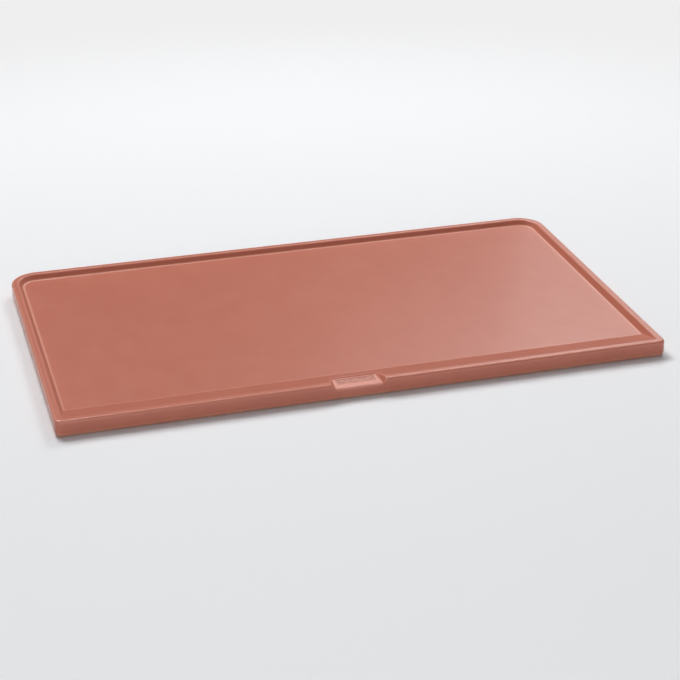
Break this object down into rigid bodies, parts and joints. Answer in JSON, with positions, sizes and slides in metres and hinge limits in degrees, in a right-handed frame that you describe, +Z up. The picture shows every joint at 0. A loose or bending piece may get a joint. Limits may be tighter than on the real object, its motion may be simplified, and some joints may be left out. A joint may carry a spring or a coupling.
{
  "type": "pizza stone",
  "caption": "Rectangular glazed clay pizza stone with a shallow baking recess, a raised rim, a sloping front ramp and a blank label plaque in the front edge.",
  "frame": {"origin": "middle of the stone's footprint, on the surface it stands on", "axes": "+X along the stone's length, to the right seen from the front. +Y across its width, from the front edge with the label plaque to the back edge. +Z up, out of the baking recess."},
  "size_m": [0.64, 0.375, 0.018],
  "materials": {
    "fired_clay": "matte",
    "glaze": "satin",
    "plaque_clay": "matte"
  },
  "bodies": {
    "root": {"stone_body": "fired_clay", "glaze_coat": "glaze", "label_plaque": "plaque_clay"}
  },
  "joints": []
}
